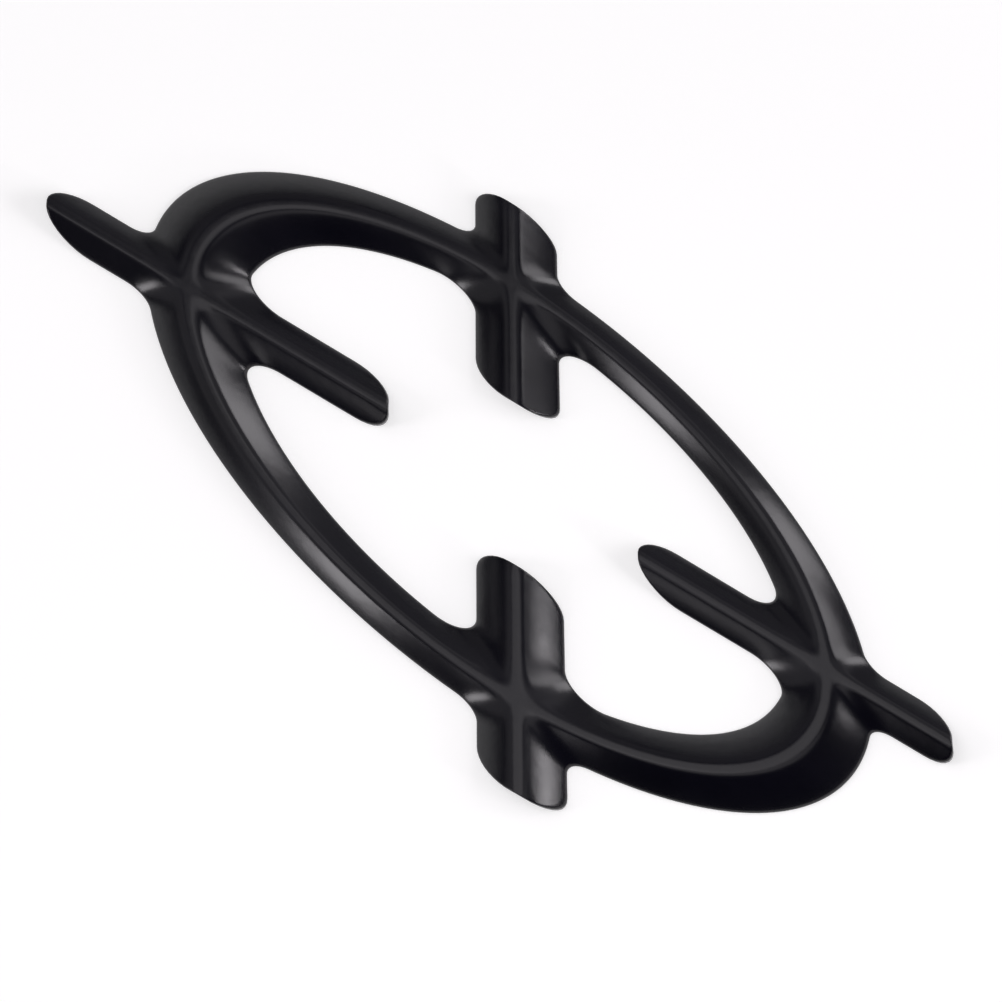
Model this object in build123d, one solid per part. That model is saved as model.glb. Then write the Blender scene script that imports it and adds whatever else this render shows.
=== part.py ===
from build123d import *
import math
import os

# Hob pan support: a ring crossed by four arms, pressed from one steel sheet and enamelled.
# All limbs have the same roof section, hollow underneath, and their ridges meet at one height.
# The arms lie along X and Y, the rim rests on Z = 0 and the ridges are on top. Sizes in millimetres.

# Plan
tip_to_tip = 145.0      # across two opposite arms
ring_diameter = 102.4   # along the ring's ridge
finger_gap = 40.0       # between the inner tips of two opposite arms
arm_count = 4
limb_width = 13.8       # ring and arms, from edge to edge
tip_corner = 6.0        # corner radius of an arm's end
outer_corner = 4.0      # corner radius where an arm leaves the ring outwards
inner_corner = 5.0      # corner radius where an arm leaves the ring inwards

# Section
sheet = 1.2             # thickness
flank_angle = 42.0      # slope of the flanks, in degrees from level
ridge_radius = 4.4      # outside radius over the ridge
ridge_flat = 0.4        # level strip along the top of the ridge
foot_share = 0.5        # share of the sheet's edge that is pressed level to stand on
lip_radius = 0.4        # rounding of the rim's upper edge
foot_radius = 0.35      # rounding of the rim's lower edge
mouth_radius = 0.2      # rounding of the hollow's edge

# Room for a rounding on its wall, and for the pressing tools past the blank's edges
wall_share = 0.9        # most of a straight side that a tip's corner may take
mouth_share = 0.65      # the hollow's edge is at most this much as round as the rim's lower edge
overrun = 3.0
undercut = 5.0
tiny = 1e-5

slope = math.radians(flank_angle)
ring_radius = ring_diameter / 2
half_width = limb_width / 2
arm_start = finger_gap / 2
arm_end = tip_to_tip / 2
rim_height = (1 - foot_share) * sheet / math.cos(slope)
crest_half = ridge_flat / 2 + ridge_radius * math.sin(slope)
crest_drop = ridge_radius * (1 - math.cos(slope))
height = rim_height + (half_width - crest_half) * math.tan(slope) + crest_drop

# A corner lies outside the ring's ridge or inside it
outside, inside = 1, -1
corners = {outside: outer_corner, inside: inner_corner}


def corner_end(side):
    # Where a corner's rounding ends along the arm, measured from the centre.
    return math.sqrt(ring_radius ** 2 + side * 2 * ring_radius * (half_width + corners[side]))


stub_room = arm_end - corner_end(outside)
finger_room = corner_end(inside) - arm_start
tip_round = min(tip_corner, wall_share * min(half_width, stub_room, finger_room))
lip_round = min(lip_radius, rim_height / 2)
foot_round = min(foot_radius, rim_height / 2)
mouth_round = min(mouth_radius, mouth_share * foot_round)


def reach(edge):
    # Distance of an edge's middle from the vertical axis.
    middle = edge @ 0.5
    return math.hypot(middle.X, middle.Y)


def valley_radius(side):
    # Radius of the hollow between two flanks whose foot follows the plan corner.
    lean = math.asin(half_width / (ring_radius + side * half_width))
    spread = math.pi / 2 - side * lean
    turn = math.acos(math.cos(slope) ** 2 + math.sin(slope) ** 2 * math.cos(spread))
    fall = math.atan(math.tan(slope) * math.cos(spread / 2))
    plan_gap = corners[side] * (1 / math.cos(spread / 2) - 1)
    return plan_gap * math.sin(fall) / (1 / math.cos(turn / 2) - 1)


def roof(depth):
    # Solid under the pressed surface, or under the surface that lies a given depth inside it.
    top = height - depth
    radius = ridge_radius - depth
    top_half = ridge_flat / 2 + radius * math.tan(slope / 2)
    low_half = top_half + (top + undercut) / math.tan(slope)
    profile = make_face(
        Polyline((-low_half, -undercut), (low_half, -undercut), (top_half, top), (-top_half, top), close=True)
    )
    first = arm_start - overrun
    last = arm_end + overrun
    arm = extrude(Pos(first, 0, 0) * (Plane.YZ * profile), last - first)
    form = revolve(Pos(ring_radius, 0, 0) * (Plane.XZ * profile), Axis.Z)
    form = form + [Rot(0, 0, index * 360 / arm_count) * arm for index in range(arm_count)]

    # Hollows between ring and arms
    for side in corners:
        curved = form.edges().filter_by(GeomType.LINE, reverse=True)
        falling = curved.filter_by(lambda edge: -undercut + tiny < (edge @ 0.5).Z < top - tiny)
        valleys = falling.filter_by(lambda edge: side * (reach(edge) - ring_radius) > 0)
        form = fillet(valleys, valley_radius(side) + depth)

    # Rounded ridge
    ridge = form.faces().sort_by(Axis.Z)[-1].edges()
    return fillet(ridge.filter_by(lambda edge: first + tiny < reach(edge) < last - tiny), radius)


def tip_lines(distance):
    # Polygon whose sides cross the arms at a distance from the centre.
    return RegularPolygon(distance, arm_count, major_radius=False, rotation=180 / arm_count)


def blank(form):
    # Plan of the trimmed sheet: the form's own section at the rim, cut to length and rounded at the tips.
    plan = Pos(0, 0, -rim_height) * section(form, section_by=Plane.XY.offset(rim_height))
    plan = plan & tip_lines(arm_end)
    plan = plan - tip_lines(arm_start)
    for distance in (arm_start, arm_end):
        corner_reach = math.hypot(distance, half_width)
        tips = plan.vertices().filter_by(lambda point: abs(math.hypot(point.X, point.Y) - corner_reach) < tiny)
        plan = fillet(tips, tip_round)
    return plan


def rim_edges(body, at_foot):
    # Upper or lower edges of the upright rim.
    walls = body.faces().filter_by(lambda face: abs(face.normal_at().Z) < tiny)
    level = walls.edges().filter_by(Axis.Z, reverse=True)
    return level.filter_by(lambda edge: ((edge @ 0.5).Z < tiny) == at_foot)


def pan_support():
    # Trimmed form with a rounded rim, hollowed to the sheet's thickness, then rounded at the hollow's mouth.
    form = roof(0)
    body = extrude(blank(form), height + overrun) & form
    body = fillet(rim_edges(body, False), lip_round)
    body = fillet(rim_edges(body, True), foot_round)
    hollow = roof(sheet)
    body = body - hollow
    ground = body.edges().filter_by_position(Axis.Z, -tiny, tiny)
    mouth = ground.filter_by(lambda edge: hollow.distance_to(edge @ 0.5) < tiny)
    return fillet(mouth, mouth_round)


os.makedirs("parts", exist_ok=True)
support = pan_support()
export_step(support, "parts/pan_support.step")
print(f"pan_support: height {height:.2f} mm, volume {support.volume:.1f} mm3")
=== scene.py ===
import math

import bpy
from mathutils import Matrix, Vector


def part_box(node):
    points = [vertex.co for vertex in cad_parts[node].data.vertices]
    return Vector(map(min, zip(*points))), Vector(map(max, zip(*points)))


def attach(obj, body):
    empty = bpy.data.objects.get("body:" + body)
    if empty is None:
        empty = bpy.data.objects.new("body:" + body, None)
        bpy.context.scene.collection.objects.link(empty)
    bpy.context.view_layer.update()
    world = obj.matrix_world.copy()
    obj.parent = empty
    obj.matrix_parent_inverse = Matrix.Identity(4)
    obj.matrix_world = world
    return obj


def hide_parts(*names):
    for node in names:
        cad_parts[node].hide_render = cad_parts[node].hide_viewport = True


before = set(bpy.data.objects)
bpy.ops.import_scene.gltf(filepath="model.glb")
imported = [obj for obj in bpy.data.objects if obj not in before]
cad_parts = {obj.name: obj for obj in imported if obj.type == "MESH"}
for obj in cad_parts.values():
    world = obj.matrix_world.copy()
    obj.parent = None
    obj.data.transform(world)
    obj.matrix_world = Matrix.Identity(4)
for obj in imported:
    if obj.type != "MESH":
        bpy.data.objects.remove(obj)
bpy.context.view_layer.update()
bpy.ops.object.select_all(action="DESELECT")
print("frame loaded:", sorted(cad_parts))

mm = 0.001


# Pressed sheet: the CAD form with softer bends and slightly arched flanks, in millimetres.
# There is one grid for each half of a gap between two arms, outside the ring and inside it.

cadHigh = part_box("pan_support")[1]
pressing = dict(
    armEnd=cadHigh.x / mm, top=cadHigh.z / mm,
    arms=4, ringRadius=51.2, fingerStart=20.0, halfWidth=6.9,
    tipCorner=6.0, outerCorner=4.0, innerCorner=5.0,
    cornerGrowth=0.5,                 # the grid's lines turn sharply at the ridge and widely at the rim
    crossingBlend=2.0,                # reach of the soft hollow between ring and arm, up at the ridges
    hollowBlend=2.4,                  # how much further it reaches halfway down
    levelGrowth=3,                    # how late on the flank the rim's level takes over at a corner
    sheet=1.2, ridgeRadius=2.6, ridgeFlat=0.35,
    flankTop=30.2, flankFoot=44.2,    # slope in degrees, growing from the ridge to the rim
    softBend=3.6,                     # degrees over which the ridge eases into the flank
    lip=0.3, foot=0.34, mouth=0.1,    # roundings of the rim, above and below, and of the hollow's edge
    tableStep=0.01, tableReach=1.3,   # how fine the section is worked out, and how far in half widths
    ridgeStops=(0, 0.3, 0.6, 0.9, 1.2, 1.5, 1.8, 2.1, 2.4, 2.7, 3.0, 3.3, 3.7, 4.2, 4.8, 5.5, 6.1),
    hollowStops=(6.3, 6.1, 6.0, 5.9, 5.75, 5.4, 4.8, 4.2, 3.6, 3.0, 2.6, 2.2, 1.8, 1.4, 1.0, 0.6, 0.3, 0),
    lipTurns=(0, 22.5, 45, 67.5, 90), footTurns=(0, 30, 60, 90),
    endShares=(-1, -0.5), tipTurns=tuple(range(0, 91, 10)),
    tipSpoke=1.0, outerBlock=61.6, innerBlock=36.4, blockTurn=math.radians(19),
    armStep=1.2, blockStep=1.1, blockSteps=16, ringSteps=26,
    mirrorWeld=0.001, seamWeld=0.004,
)
halfWidth = pressing["halfWidth"]
ringRadius = pressing["ringRadius"]
outside, inside = 1, -1   # side of the ring's ridge


def tilt(offset):
    # slope of the sheet at a distance from the ridge
    share = min(1.0, max(0.0, offset - pressing["ridgeFlat"]) / pressing["ridgeRadius"])
    bend = math.degrees(math.asin(share))
    flank = pressing["flankTop"] + (pressing["flankFoot"] - pressing["flankTop"]) * offset / halfWidth
    soft = pressing["softBend"]
    eased = -soft * math.log(math.exp(-bend / soft) + math.exp(-flank / soft))
    return math.radians(max(0.0, eased))


def sectionTables():
    # heights of the upper and lower faces, by distance from the ridge
    sheet = pressing["sheet"]
    step = pressing["tableStep"]
    upper = []
    lower = []
    z = pressing["top"]
    for index in range(int(pressing["tableReach"] * halfWidth / step)):
        offset = index * step
        slope = tilt(offset)
        upper.append((offset, z))
        lower.append((offset - sheet * math.sin(slope), z - sheet * math.cos(slope)))
        z -= math.tan(slope) * step
    return upper, lower


upperTable, lowerTable = sectionTables()


def lookUp(table, offset):
    # height between the two nearest entries
    low, high = 0, len(table) - 1
    while high - low > 1:
        middle = (low + high) // 2
        if table[middle][0] <= offset:
            low = middle
        else:
            high = middle
    (x0, z0), (x1, z1) = table[low], table[high]
    return z0 + (z1 - z0) * (offset - x0) / (x1 - x0)


def upperHeight(offset):
    return lookUp(upperTable, offset)


def lowerHeight(offset):
    # underside, which runs out into the level foot
    hollow = lookUp(lowerTable, offset)
    return (hollow + math.hypot(hollow, pressing["mouth"])) / 2


def cornerDepth(side):
    # how far a rounded corner stays clear of the point where the edges of arm and ring would cross
    corner = pressing["outerCorner"] if side > 0 else pressing["innerCorner"]
    lean = math.asin((halfWidth + corner) / (ringRadius + side * (halfWidth + corner)))
    return corner * (1 - math.cos((math.pi / 2 - side * lean) / 2))


smoothShare = 6   # where two distances are equal, their smooth minimum is lower by its reach over this


def ridgeDistance(side, x, y):
    # distance from the nearest ridge, drawn smoothly together where ring and arm meet
    fromRing = abs(math.hypot(x, y) - ringRadius)
    corner = cornerDepth(side)
    down = min(1.0, (fromRing + y) / 2 / (halfWidth + corner))
    halfway = 4 * down * (1 - down)   # 1 halfway down, 0 at the ridge and at the rim
    blend = pressing["crossingBlend"] * (1 - down) + smoothShare * corner * down
    blend += pressing["hollowBlend"] * halfway
    overlap = max(0.0, 1 - abs(fromRing - y) / blend)
    return max(0.0, min(fromRing, y) - overlap ** 3 * blend / smoothShare)


def tipPoint(side, turn, ridgeX, offset):
    # spoke from the ridge to an arm's rounded end: turn is -1 in the middle of the straight end,
    # 0 where the end starts to round and 90 degrees at the side
    end = pressing["armEnd"] if side > 0 else pressing["fingerStart"]
    corner = pressing["tipCorner"]
    depth = min(halfWidth - offset, pressing["lip"])
    if turn < 0:
        x, y = end - side * depth, (halfWidth - corner) * (1 + turn)
    else:
        x = end - side * (corner - (corner - depth) * math.cos(turn))
        y = halfWidth - corner + (corner - depth) * math.sin(turn)
    share = min(1.0, offset / (halfWidth - pressing["lip"]))
    return ridgeX + (x - ridgeX) * share, y * share


def armPoint(x, offset):
    # place beside the arm's ridge
    return x, offset


def cornerPoint(side, share, armX, offset):
    # place along the rounded corner between arm and ring: share is -1 on the arm and 1 on the ring
    corner = pressing["outerCorner"] if side > 0 else pressing["innerCorner"]
    bend = corner * (offset / halfWidth) ** pressing["cornerGrowth"]
    centreY = offset + bend
    centreX = math.sqrt((ringRadius + side * centreY) ** 2 - centreY ** 2)
    turn = math.atan2(centreY, centreX)
    sweep = math.pi / 2 - side * turn
    ringLine = ringRadius + side * offset
    halfBend = bend * sweep / 2
    straight = abs(armX - centreX) if share < 0 else ringLine * (pressing["blockTurn"] - turn)
    way = abs(share) * (halfBend + straight)
    if way < halfBend:
        angle = -math.pi / 2 - side * (sweep / 2 + math.copysign(way, share) / bend)
        return centreX + bend * math.cos(angle), centreY + bend * math.sin(angle)
    if share < 0:
        return centreX + side * (way - halfBend), offset
    return ringPoint(side, turn + (way - halfBend) / ringLine, offset)


def ringPoint(side, turn, offset):
    # place beside the ring's ridge
    radius = ringRadius + side * offset
    return radius * math.cos(turn), radius * math.sin(turn)


def layoutColumns(side):
    # from an arm's tip along the arm, round the corner and along the ring to the middle of its quarter
    end = pressing["armEnd"] if side > 0 else pressing["fingerStart"]
    armX = pressing["outerBlock"] if side > 0 else pressing["innerBlock"]
    spoke = pressing["tipSpoke"]
    corner = pressing["tipCorner"]
    columns = []
    turns = list(pressing["endShares"]) + [math.radians(turn) for turn in pressing["tipTurns"]]
    for index, turn in enumerate(turns):
        along = spoke + (corner - spoke) * index / (len(turns) - 1)
        columns.append((tipPoint, (side, turn, end - side * along)))
    firstX = end - side * corner
    armSteps = round(abs(firstX - armX) / pressing["armStep"])
    for step in range(1, armSteps):
        columns.append((armPoint, (firstX + (armX - firstX) * step / armSteps,)))
    leadSteps = round(abs(armX - ringRadius) / pressing["blockStep"])
    shares = [step / leadSteps - 1 for step in range(leadSteps)]
    shares += [step / pressing["blockSteps"] for step in range(pressing["blockSteps"] + 1)]
    for share in shares:
        columns.append((cornerPoint, (side, share, armX)))
    for step in range(1, pressing["ringSteps"] + 1):
        turn = pressing["blockTurn"] + (math.pi / 4 - pressing["blockTurn"]) * step / pressing["ringSteps"]
        columns.append((ringPoint, (side, turn)))
    return columns


def layoutRows():
    # from the ridge over the flank, round the rim and back under the sheet, with the thinness of the enamel
    lip = pressing["lip"]
    foot = pressing["foot"]
    rows = [(offset, upperHeight, 0, 0) for offset in pressing["ridgeStops"]]
    for turn in pressing["lipTurns"]:
        angle = math.radians(turn)
        thin = math.sin(2 * angle) ** 2
        offset = halfWidth - lip * (1 - math.sin(angle))
        rows.append((offset, upperHeight, -lip * (1 - math.cos(angle)), thin))
    for turn in pressing["footTurns"]:
        angle = math.radians(turn)
        thin = math.sin(2 * angle) ** 2
        offset = halfWidth - foot * (1 - math.cos(angle))
        rows.append((offset, lowerHeight, foot * (1 - math.sin(angle)), thin))
    rows += [(offset, lowerHeight, 0, 0) for offset in pressing["hollowStops"]]
    return rows


def addHalfGap(side):
    # a flat grid whose vertices are then put in their places on the pressing
    columns = layoutColumns(side)
    rows = layoutRows()
    bpy.ops.mesh.primitive_grid_add(x_subdivisions=len(columns) - 1, y_subdivisions=len(rows) - 1, size=2)
    piece = bpy.context.object
    thinness = piece.data.attributes.new("thinEnamel", "FLOAT", "POINT")
    for vertex in piece.data.vertices:
        place, values = columns[round((vertex.co.x + 1) / 2 * (len(columns) - 1))]
        offset, height, lift, thin = rows[round((vertex.co.y + 1) / 2 * (len(rows) - 1))]
        x, y = place(*values, offset)
        distance = ridgeDistance(side, x, y)
        if place is not tipPoint:
            atRim = ridgeDistance(side, *place(*values, halfWidth))
            # the rim stays level round the corner
            distance += (halfWidth - atRim) * (offset / halfWidth) ** pressing["levelGrowth"]
        vertex.co = Vector((x, y, height(distance) + lift)) * mm
        thinness.data[vertex.index].value = thin
    return piece


arms = pressing["arms"]
outerHalf = addHalfGap(outside)
innerHalf = addHalfGap(inside)
outerHalf.select_set(True)
innerHalf.select_set(True)
bpy.context.view_layer.objects.active = outerHalf
bpy.ops.object.join()
support = bpy.context.object
support.name = "pressed_support"
mirror = support.modifiers.new("otherFlank", "MIRROR")
mirror.use_axis = (False, True, False)
mirror.merge_threshold = pressing["mirrorWeld"] * mm
bpy.ops.object.modifier_apply(modifier=mirror.name)
bpy.ops.object.mode_set(mode="EDIT")
bpy.ops.mesh.select_all(action="SELECT")
allButOne = math.radians(360 * (arms - 1) / arms)
bpy.ops.mesh.spin(dupli=True, steps=arms - 1, angle=allButOne, center=(0, 0, 0), axis=(0, 0, 1))
bpy.ops.mesh.select_all(action="SELECT")
bpy.ops.mesh.remove_doubles(threshold=pressing["seamWeld"] * mm)
bpy.ops.mesh.normals_make_consistent(inside=False)
bpy.ops.object.mode_set(mode="OBJECT")
bpy.ops.object.shade_smooth()
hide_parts("pan_support")
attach(support, "root")
print("pressed sheet ready:", len(support.data.polygons), "faces")


# Enamel: satin black glass coat, faintly rippled, thinner and greyer on the rim

enamel = dict(
    deep=(0.0016, 0.0015, 0.004, 1), cloud=(0.0032, 0.003, 0.0065, 1), rim=(0.03, 0.028, 0.031, 1),
    smooth=0.21, rough=0.25, rimRough=0.5, shine=0.37,
    cloudScale=70, cloudDetail=3, cloudRange=(0.3, 0.7),
    rippleScale=420, rippleDetail=1, rippleDepth=0.00002,     # depth in metres
    grainScale=5200, grainDetail=1, grainShare=0.12,
    rimScale=900, rimDetail=2, rimRange=(0.35, 0.65), rimLeast=0.25,
)

material = bpy.data.materials.new("blackEnamel")
material.use_nodes = True
tree = material.node_tree
shader = tree.nodes["Principled BSDF"]
coordinates = tree.nodes.new("ShaderNodeTexCoord")


def addNoise(scale, detail):
    noise = tree.nodes.new("ShaderNodeTexNoise")
    noise.inputs["Scale"].default_value = scale
    noise.inputs["Detail"].default_value = detail
    tree.links.new(coordinates.outputs["Object"], noise.inputs["Vector"])
    return noise.outputs["Fac"]


def addRange(source, fromLow, fromHigh, toLow, toHigh):
    scaled = tree.nodes.new("ShaderNodeMapRange")
    for name, value in zip(("From Min", "From Max", "To Min", "To Max"), (fromLow, fromHigh, toLow, toHigh)):
        scaled.inputs[name].default_value = value
    tree.links.new(source, scaled.inputs["Value"])
    return scaled.outputs["Result"]


def addMath(kind, first, second):
    node = tree.nodes.new("ShaderNodeMath")
    node.operation = kind
    for socket, value in zip(node.inputs, (first, second)):
        if isinstance(value, float):
            socket.default_value = value
        else:
            tree.links.new(value, socket)
    return node.outputs["Value"]


def addMix(share, first, second):
    mix = tree.nodes.new("ShaderNodeMix")
    mix.data_type = "RGBA"
    tree.links.new(share, mix.inputs["Factor"])
    for socket, value in ((mix.inputs["A"], first), (mix.inputs["B"], second)):
        if isinstance(value, tuple):
            socket.default_value = value
        else:
            tree.links.new(value, socket)
    return mix.outputs["Result"]


cloud = addNoise(enamel["cloudScale"], enamel["cloudDetail"])
grain = addNoise(enamel["grainScale"], enamel["grainDetail"])
ripple = addNoise(enamel["rippleScale"], enamel["rippleDetail"])
thinEnamel = tree.nodes.new("ShaderNodeAttribute")
thinEnamel.attribute_name = "thinEnamel"
patches = addNoise(enamel["rimScale"], enamel["rimDetail"])
broken = addRange(patches, *enamel["rimRange"], enamel["rimLeast"], 1)
rimShare = addMath("MULTIPLY", thinEnamel.outputs["Fac"], broken)
black = addMix(addRange(cloud, *enamel["cloudRange"], 0, 1), enamel["deep"], enamel["cloud"])
tree.links.new(addMix(rimShare, black, enamel["rim"]), shader.inputs["Base Color"])
satin = addRange(cloud, *enamel["cloudRange"], enamel["smooth"], enamel["rough"])
satin = addMath("ADD", satin, addMath("MULTIPLY", rimShare, enamel["rimRough"] - enamel["rough"]))
tree.links.new(satin, shader.inputs["Roughness"])
relief = addMath("ADD", ripple, addMath("MULTIPLY", grain, enamel["grainShare"]))
bump = tree.nodes.new("ShaderNodeBump")
bump.inputs["Strength"].default_value = 1
bump.inputs["Distance"].default_value = enamel["rippleDepth"]
tree.links.new(relief, bump.inputs["Height"])
tree.links.new(bump.outputs["Normal"], shader.inputs["Normal"])
shader.inputs["Specular IOR Level"].default_value = enamel["shine"]
support.data.materials.clear()
support.data.materials.append(material)
print("enamel ready")


# Studio: white table with a low backdrop round it, dark room, soft panels. Sizes in metres.

studio = dict(
    floorSize=4.0, floorColour=(0.6, 0.6, 0.6, 1), floorRough=0.9,
    glowColour=(1, 1, 1, 1), tableGlow=0.54,
    wallRadius=1.95, wallHeight=0.21, wallSides=96,
    roomGrey=0.01, panelTint=(1.0, 0.965, 1.0),
)

bpy.ops.mesh.primitive_plane_add(size=studio["floorSize"], location=(0, 0, 0))
table = bpy.context.object
table.name = "table"
tablePaint = bpy.data.materials.new("tablePaint")
tablePaint.use_nodes = True
paintTree = tablePaint.node_tree
paint = paintTree.nodes["Principled BSDF"]
paint.inputs["Base Color"].default_value = studio["floorColour"]
paint.inputs["Roughness"].default_value = studio["floorRough"]
paint.inputs["Emission Color"].default_value = studio["glowColour"]
lightPath = paintTree.nodes.new("ShaderNodeLightPath")
seen = lightPath.outputs["Is Camera Ray"]
for name in ("Is Glossy Ray", "Is Transmission Ray"):
    either = paintTree.nodes.new("ShaderNodeMath")
    either.operation = "MAXIMUM"
    paintTree.links.new(seen, either.inputs[0])
    paintTree.links.new(lightPath.outputs[name], either.inputs[1])
    seen = either.outputs["Value"]
glow = paintTree.nodes.new("ShaderNodeMath")
glow.operation = "MULTIPLY"
glow.inputs[1].default_value = studio["tableGlow"]
paintTree.links.new(seen, glow.inputs[0])
paintTree.links.new(glow.outputs["Value"], paint.inputs["Emission Strength"])
table.data.materials.append(tablePaint)

wallHeight = studio["wallHeight"]
bpy.ops.mesh.primitive_cylinder_add(vertices=studio["wallSides"], radius=studio["wallRadius"],
                                    depth=wallHeight, end_fill_type="NOTHING",
                                    location=(0, 0, wallHeight / 2))
wall = bpy.context.object
wall.name = "backdrop"
bpy.ops.object.transform_apply(location=True)
bpy.ops.object.shade_smooth()
wall.data.materials.append(tablePaint)

world = bpy.data.worlds.new("room")
bpy.context.scene.world = world
world.use_nodes = True
grey = studio["roomGrey"]
world.node_tree.nodes["Background"].inputs["Color"].default_value = (grey, grey, grey, 1)

# bearing, zenith and half spreads in degrees seen from the support, glow as brightness
panels = [
    dict(name="overhead", bearing=236, zenith=5, distance=0.56, spread=(15.4, 15.8), glow=1.5),
    dict(name="rightPanel", bearing=43, zenith=65.6, distance=1.3, spread=(8.4, 13.5), glow=6.4),
    dict(name="rightKey", bearing=23, zenith=56, distance=1.3, spread=(7.4, 13.5), glow=4.8),
    dict(name="leftPanel", bearing=227, zenith=67, distance=1.3, spread=(6.7, 11.3), glow=8.6),
    dict(name="lowStrip", bearing=1.2, zenith=67.4, distance=0.6, spread=(2.5, 4.4), glow=24),
    dict(name="backStrip", bearing=77.5, zenith=34.5, distance=1.3, spread=(21.5, 21.4), glow=0.55),
    dict(name="leftFill", bearing=195.7, zenith=46.6, distance=1.3, spread=(19.9, 28), glow=0.5),
    dict(name="backFill", bearing=87, zenith=62.5, distance=1.13, spread=(29.2, 17.9), glow=0.3),
    dict(name="farFill", bearing=141.6, zenith=56, distance=0.94, spread=(19, 23.5), glow=0.26),
    dict(name="frontFill", bearing=293, zenith=29.2, distance=0.25, spread=(30, 11.3), glow=0.8),
    dict(name="frontCard", bearing=262.6, zenith=64.3, distance=0.25, spread=(9.7, 6.1), glow=1.6),
]
for panel in panels:
    bearing = math.radians(panel["bearing"])
    zenith = math.radians(panel["zenith"])
    level = math.sin(zenith)
    towards = Vector((level * math.cos(bearing), level * math.sin(bearing), math.cos(zenith)))
    bpy.ops.object.light_add(type="AREA", location=towards * panel["distance"])
    light = bpy.context.object
    light.name = panel["name"]
    light.rotation_euler = towards.to_track_quat("Z", "Y").to_euler()
    light.visible_camera = False
    wide, tall = (2 * panel["distance"] * math.tan(math.radians(half)) for half in panel["spread"])
    light.data.shape = "RECTANGLE"
    light.data.size = wide
    light.data.size_y = tall
    light.data.energy = panel["glow"] * math.pi * wide * tall   # power that gives this brightness
    light.data.color = studio["panelTint"]
print("studio ready")


# Camera: the picture shows the plan with oblique axes, so the camera's right, up and back are oblique too

viewFrame = dict(
    place=(0.88984, -0.69946, 5.12),
    right=(0.323227, 0.015868, 0.946188),
    up=(0.171922, 0.109543, 0.979001),
    back=(0.170279, -0.132263, 0.976479),
    lens=186.3, farEnd=50,
)

bpy.ops.object.empty_add(location=(0, 0, 0))
holder = bpy.context.object
holder.name = "cameraHolder"
bpy.ops.object.camera_add(location=(0, 0, 0))
camera = bpy.context.object
camera.parent = holder
axes = Matrix((viewFrame["right"], viewFrame["up"], viewFrame["back"])).transposed()
camera.matrix_parent_inverse = Matrix.Translation(viewFrame["place"]) @ axes.to_4x4()
camera.data.lens = viewFrame["lens"]
camera.data.clip_end = viewFrame["farEnd"]
bpy.context.scene.camera = camera
bpy.context.scene.view_settings.view_transform = "Standard"
print("camera ready")
